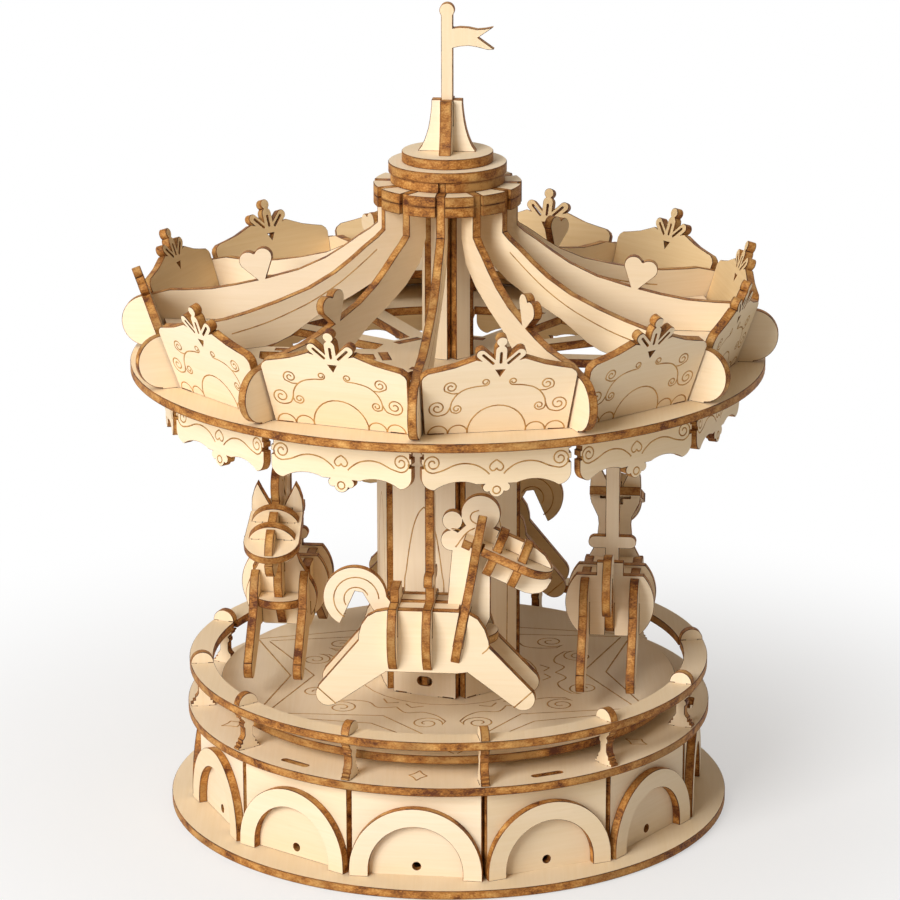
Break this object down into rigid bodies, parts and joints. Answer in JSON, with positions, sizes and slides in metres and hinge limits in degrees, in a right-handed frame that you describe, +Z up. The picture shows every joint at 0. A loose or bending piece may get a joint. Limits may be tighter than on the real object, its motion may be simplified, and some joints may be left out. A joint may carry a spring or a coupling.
{
  "type": "carousel music box",
  "caption": "Slot-together plywood carousel: twelve-sided base with a rail, and a turning floor, column, canopy, crown, flag and hanging horses driven by a hidden comb movement.",
  "frame": {"origin": "centre of the base plate's underside, on the turning axis", "axes": "+Z up along the turning axis, -Y towards the viewer's side of the base, +X to the viewer's right"},
  "size_m": [0.1552, 0.1552, 0.1948],
  "materials": {
    "plywood": "raw basswood veneer with laser-browned cut edges and engraved lines",
    "movement_brass": "machined, satin",
    "movement_steel": "plain ground steel"
  },
  "bodies": {
    "base": {"base_plate": "plywood", "wall_panels": "plywood", "arch_trims": "plywood", "deck_plate": "plywood", "rail_posts": "plywood", "rail_ring": "plywood", "movement_bed": "movement_brass", "movement_bridge": "movement_brass", "spring_drum": "movement_steel", "mainspring": "movement_steel", "tune_comb": "movement_steel", "comb_block": "movement_brass", "governor_case": "movement_steel", "arbor_bush": "movement_brass"},
    "roll": {"tune_roll": "movement_brass"},
    "governor": {"governor_rotor": "movement_steel"},
    "carousel": {"turntable": "plywood", "hub_disc": "plywood", "drive_arbor": "movement_steel", "arbor_collar": "movement_steel", "drive_wheel": "movement_brass", "column_panels": "plywood", "column_spacers": "plywood", "canopy_floor": "plywood", "kerb_panels": "plywood", "fascia_panels": "plywood", "valance_panels": "plywood", "heart_ribs": "plywood", "slit_ribs": "plywood", "mast_panels": "plywood", "crown_ring_low": "plywood", "crown_ring_high": "plywood", "crown_disc_low": "plywood", "crown_disc_high": "plywood", "crown_cap": "plywood", "spire_fin_wide": "plywood", "spire_fin_deep": "plywood", "flag": "plywood", "horse_a_spine": "plywood", "horse_a_legs": "plywood", "horse_a_strip": "plywood", "horse_a_hoops": "plywood", "horse_a_head": "plywood", "horse_b_spine": "plywood", "horse_b_legs": "plywood", "horse_b_strip": "plywood", "horse_b_hoops": "plywood", "horse_b_head": "plywood", "horse_c_spine": "plywood", "horse_c_legs": "plywood", "horse_c_strip": "plywood", "horse_c_hoops": "plywood", "horse_c_head": "plywood", "horse_d_spine": "plywood", "horse_d_legs": "plywood", "horse_d_strip": "plywood", "horse_d_hoops": "plywood", "horse_d_head": "plywood"}
  },
  "joints": [
    {"name": "turntable_spin", "type": "hinge", "parent": "base", "child": "carousel", "pos_m": [0, 0, 0.03], "axis": [0, 0, 1], "continuous": true},
    {"name": "roll_spin", "type": "hinge", "parent": "base", "child": "roll", "pos_m": [0.0208, 0, 0.01], "axis": [0, 0, 1], "continuous": true},
    {"name": "governor_spin", "type": "hinge", "parent": "base", "child": "governor", "pos_m": [-0.01176, 0.01618, 0.01], "axis": [0, 0, 1], "continuous": true}
  ],
  "couplings": [
    {"joint": "roll_spin", "follows": "turntable_spin", "ratio": -3.3333},
    {"joint": "governor_spin", "follows": "turntable_spin", "ratio": -4}
  ]
}
